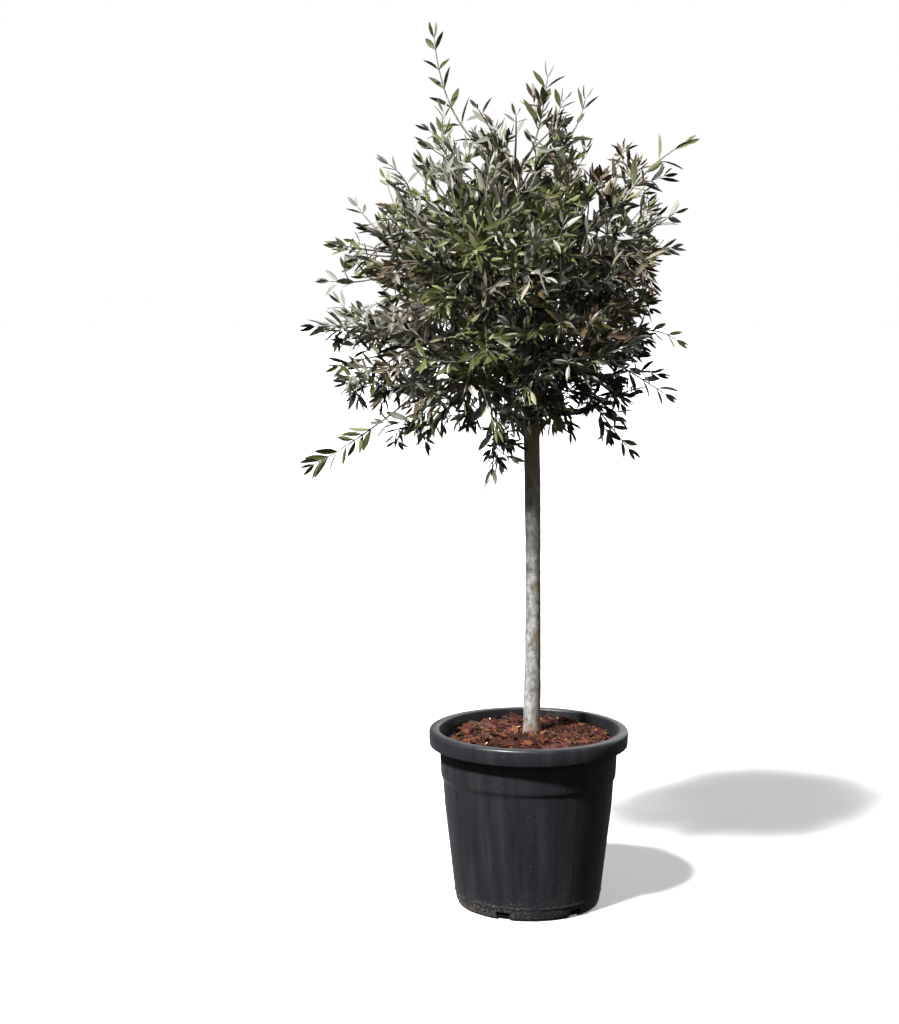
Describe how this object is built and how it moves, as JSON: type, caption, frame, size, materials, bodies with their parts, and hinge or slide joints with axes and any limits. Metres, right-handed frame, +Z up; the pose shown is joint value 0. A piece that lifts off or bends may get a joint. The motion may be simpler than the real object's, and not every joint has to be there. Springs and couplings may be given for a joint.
{
  "type": "potted olive tree",
  "caption": "Young standard olive tree: a slim clear trunk with a round head of narrow grey-green leaves, rooted in a tapered round black nursery pot topped with bark mulch.",
  "frame": {"origin": "centre of the flat underside of the pot", "axes": "+Z up along the trunk, +X to the right and +Y away from the viewer when seen from the front"},
  "size_m": [0.5852, 0.5487, 1.3142],
  "materials": {
    "black_polythene": "satin moulded polythene, slightly dusty",
    "compost": "dark damp potting compost",
    "bark_chips": "rough reddish-brown bark chips",
    "olive_bark": "pale silver-grey young olive bark with fine cross cracks",
    "olive_leaf": "leathery narrow leaves, dark grey-green above and silvery below"
  },
  "bodies": {
    "root": {"pot": "black_polythene", "potting_soil": "compost", "bark_mulch": "bark_chips", "trunk": "olive_bark", "bough_lower_1": "olive_bark", "bough_lower_2": "olive_bark", "bough_lower_3": "olive_bark", "bough_lower_4": "olive_bark", "bough_lower_5": "olive_bark", "bough_lower_6": "olive_bark", "bough_upper_1": "olive_bark", "bough_upper_2": "olive_bark", "bough_upper_3": "olive_bark", "bough_upper_4": "olive_bark", "bough_upper_5": "olive_bark", "bough_top": "olive_bark", "foliage_lower_1": "olive_leaf", "foliage_lower_2": "olive_leaf", "foliage_lower_3": "olive_leaf", "foliage_lower_4": "olive_leaf", "foliage_lower_5": "olive_leaf", "foliage_lower_6": "olive_leaf", "foliage_upper_1": "olive_leaf", "foliage_upper_2": "olive_leaf", "foliage_upper_3": "olive_leaf", "foliage_upper_4": "olive_leaf", "foliage_upper_5": "olive_leaf", "foliage_top": "olive_leaf"}
  },
  "joints": []
}
